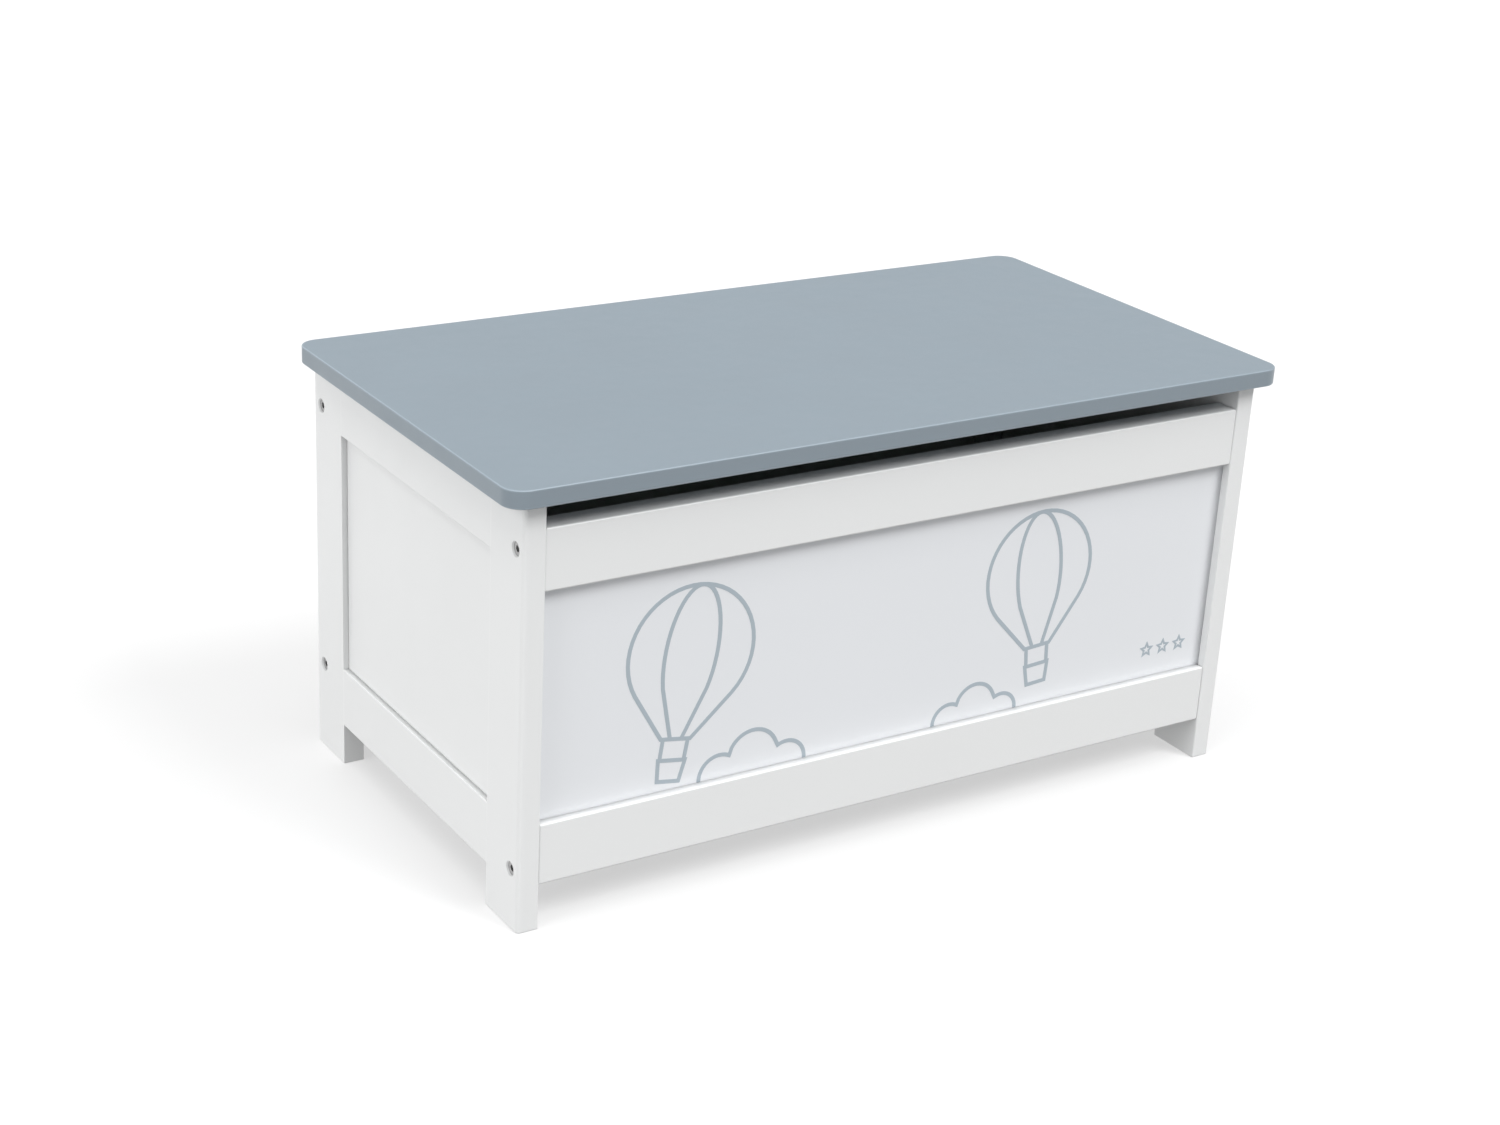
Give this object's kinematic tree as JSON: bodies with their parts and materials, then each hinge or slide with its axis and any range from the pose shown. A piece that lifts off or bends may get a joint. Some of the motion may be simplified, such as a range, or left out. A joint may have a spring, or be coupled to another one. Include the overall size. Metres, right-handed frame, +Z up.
{
  "type": "toy box",
  "caption": "Low free-standing toy box: framed side panels, recessed front panel, open finger gap, and an overhanging rounded lid on hinges with folding stays.",
  "frame": {"origin": "on the floor under the middle of the box's overall outline", "axes": "+X to the right along the lid's long side as seen from the front, +Y from the front to the back, +Z up"},
  "size_m": [0.6, 0.32, 0.3],
  "materials": {
    "white_paint": "satin white lacquer on board",
    "panel_face": "smooth cool-white lacquered thin board",
    "lid_paint": "satin blue-grey lacquer on board",
    "zinc_steel": "zinc plated",
    "beech": "bare beech"
  },
  "bodies": {
    "box": {"left_front_leg": "white_paint", "left_rear_leg": "white_paint", "left_top_rail": "white_paint", "left_bottom_rail": "white_paint", "left_panel": "white_paint", "right_front_leg": "white_paint", "right_rear_leg": "white_paint", "right_top_rail": "white_paint", "right_bottom_rail": "white_paint", "right_panel": "white_paint", "front_top_rail": "white_paint", "front_bottom_rail": "white_paint", "back_board": "white_paint", "base_panel": "white_paint", "front_panel": "panel_face", "frame_dowels": "beech", "rail_dowels": "beech", "connector_bolts": "zinc_steel", "barrel_nuts": "zinc_steel", "left_hinge_body_leaf": "zinc_steel", "left_hinge_pin": "zinc_steel", "right_hinge_body_leaf": "zinc_steel", "right_hinge_pin": "zinc_steel", "hinge_body_screws": "zinc_steel", "left_stay_base_bracket": "zinc_steel", "right_stay_base_bracket": "zinc_steel", "stay_base_rivets": "zinc_steel", "stay_base_screws": "zinc_steel"},
    "lid": {"lid_board": "lid_paint", "left_hinge_lid_leaf": "zinc_steel", "right_hinge_lid_leaf": "zinc_steel", "hinge_lid_screws": "zinc_steel", "left_stay_lid_bracket": "zinc_steel", "right_stay_lid_bracket": "zinc_steel", "stay_lid_rivets": "zinc_steel", "stay_lid_screws": "zinc_steel"},
    "left_lower_arm": {"left_stay_lower_arm": "zinc_steel", "left_stay_elbow_rivet": "zinc_steel"},
    "left_upper_arm": {"left_stay_upper_arm": "zinc_steel"},
    "right_lower_arm": {"right_stay_lower_arm": "zinc_steel", "right_stay_elbow_rivet": "zinc_steel"},
    "right_upper_arm": {"right_stay_upper_arm": "zinc_steel"}
  },
  "joints": [
    {"name": "lid_hinge", "type": "hinge", "parent": "box", "child": "lid", "pos_m": [0, 0.158, 0.2866], "axis": [-1, 0, 0], "range_deg": [0, 90]},
    {"name": "left_stay_base_pivot", "type": "hinge", "parent": "box", "child": "left_lower_arm", "pos_m": [-0.2682, 0.1, 0.258], "axis": [-1, 0, 0], "range_deg": [0, 90]},
    {"name": "left_stay_elbow", "type": "hinge", "parent": "left_lower_arm", "child": "left_upper_arm", "pos_m": [-0.2671, -0.01, 0.2504], "axis": [-1, 0, 0], "range_deg": [-90, 0]},
    {"name": "right_stay_base_pivot", "type": "hinge", "parent": "box", "child": "right_lower_arm", "pos_m": [0.2682, 0.1, 0.258], "axis": [-1, 0, 0], "range_deg": [0, 90]},
    {"name": "right_stay_elbow", "type": "hinge", "parent": "right_lower_arm", "child": "right_upper_arm", "pos_m": [0.2671, -0.01, 0.2504], "axis": [-1, 0, 0], "range_deg": [-90, 0]}
  ],
  "couplings": [
    {"joint": "left_stay_base_pivot", "follows": "lid_hinge", "ratio": 1},
    {"joint": "left_stay_elbow", "follows": "lid_hinge", "ratio": -1},
    {"joint": "right_stay_base_pivot", "follows": "lid_hinge", "ratio": 1},
    {"joint": "right_stay_elbow", "follows": "lid_hinge", "ratio": -1}
  ]
}
